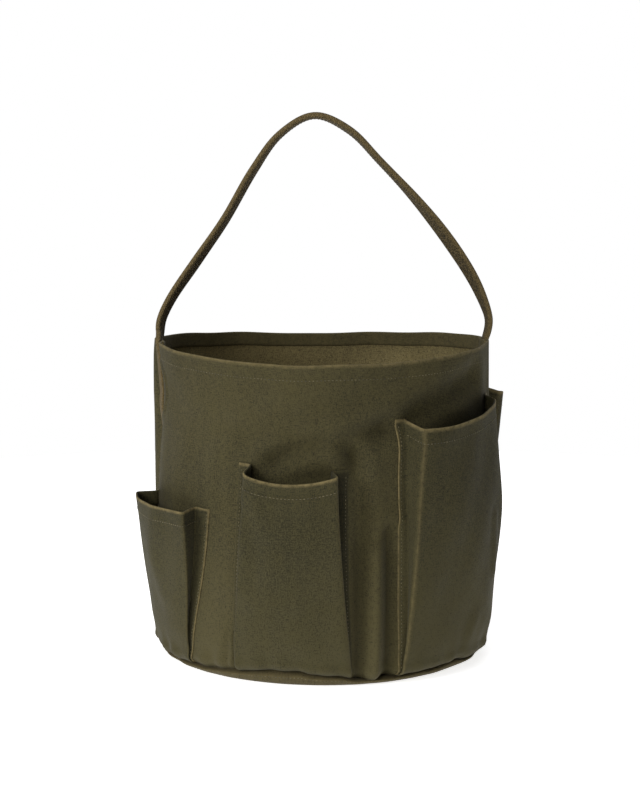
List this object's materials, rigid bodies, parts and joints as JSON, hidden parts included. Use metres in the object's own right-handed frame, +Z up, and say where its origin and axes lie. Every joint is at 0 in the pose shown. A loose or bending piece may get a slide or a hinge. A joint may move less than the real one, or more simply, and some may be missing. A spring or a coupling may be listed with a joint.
{
  "type": "garden tool bag",
  "caption": "Round canvas bucket bag with a turned rim, a flat round base, bellows tool pockets around the outside and one folded webbing handle.",
  "frame": {"origin": "centre of the base panel, on the surface that the bag stands on", "axes": "+Z up; X runs from the left side seam to the right one, along the handle; the front of the bag faces -Y"},
  "size_m": [0.3362, 0.3467, 0.4856],
  "materials": {
    "wall_canvas": "heavy plain-weave cotton canvas, dark olive, matt with a faint wax sheen",
    "pocket_canvas": "heavy plain-weave cotton canvas, dark olive, matt with a faint wax sheen",
    "base_canvas": "heavy cotton canvas, dark olive, matt",
    "webbing": "folded and stitched cotton webbing, brownish olive, coarse ribbed weave",
    "thread": "twisted polyester sewing thread, light olive"
  },
  "bodies": {
    "bag": {"front_panel": "wall_canvas", "back_panel": "wall_canvas", "base_panel": "base_canvas", "pocket_low_front": "pocket_canvas", "pocket_low_front_hem_thread": "thread", "pocket_low_front_left_thread": "thread", "pocket_low_front_right_thread": "thread", "pocket_middle_front": "pocket_canvas", "pocket_middle_front_hem_thread": "thread", "pocket_middle_front_left_thread": "thread", "pocket_middle_front_right_thread": "thread", "pocket_tall_front": "pocket_canvas", "pocket_tall_front_hem_thread": "thread", "pocket_tall_front_left_thread": "thread", "pocket_tall_front_right_thread": "thread", "pocket_tall_back": "pocket_canvas", "pocket_tall_back_hem_thread": "thread", "pocket_tall_back_left_thread": "thread", "pocket_tall_back_right_thread": "thread", "pocket_middle_back": "pocket_canvas", "pocket_middle_back_hem_thread": "thread", "pocket_middle_back_left_thread": "thread", "pocket_middle_back_right_thread": "thread", "pocket_low_back": "pocket_canvas", "pocket_low_back_hem_thread": "thread", "pocket_low_back_left_thread": "thread", "pocket_low_back_right_thread": "thread", "strap_end_left": "webbing", "strap_tack_left": "thread", "strap_end_right": "webbing", "strap_tack_right": "thread", "rim_thread_front": "thread", "rim_thread_back": "thread", "side_seam_thread_left": "thread", "side_seam_thread_right": "thread", "base_seam_thread": "thread"},
    "handle": {"handle_strap": "webbing", "handle_edge_thread": "thread"}
  },
  "joints": [
    {"name": "handle_swing", "type": "hinge", "parent": "bag", "child": "handle", "pos_m": [0, 0, 0.287], "axis": [1, 0, 0], "range_deg": [-85, 85]}
  ]
}
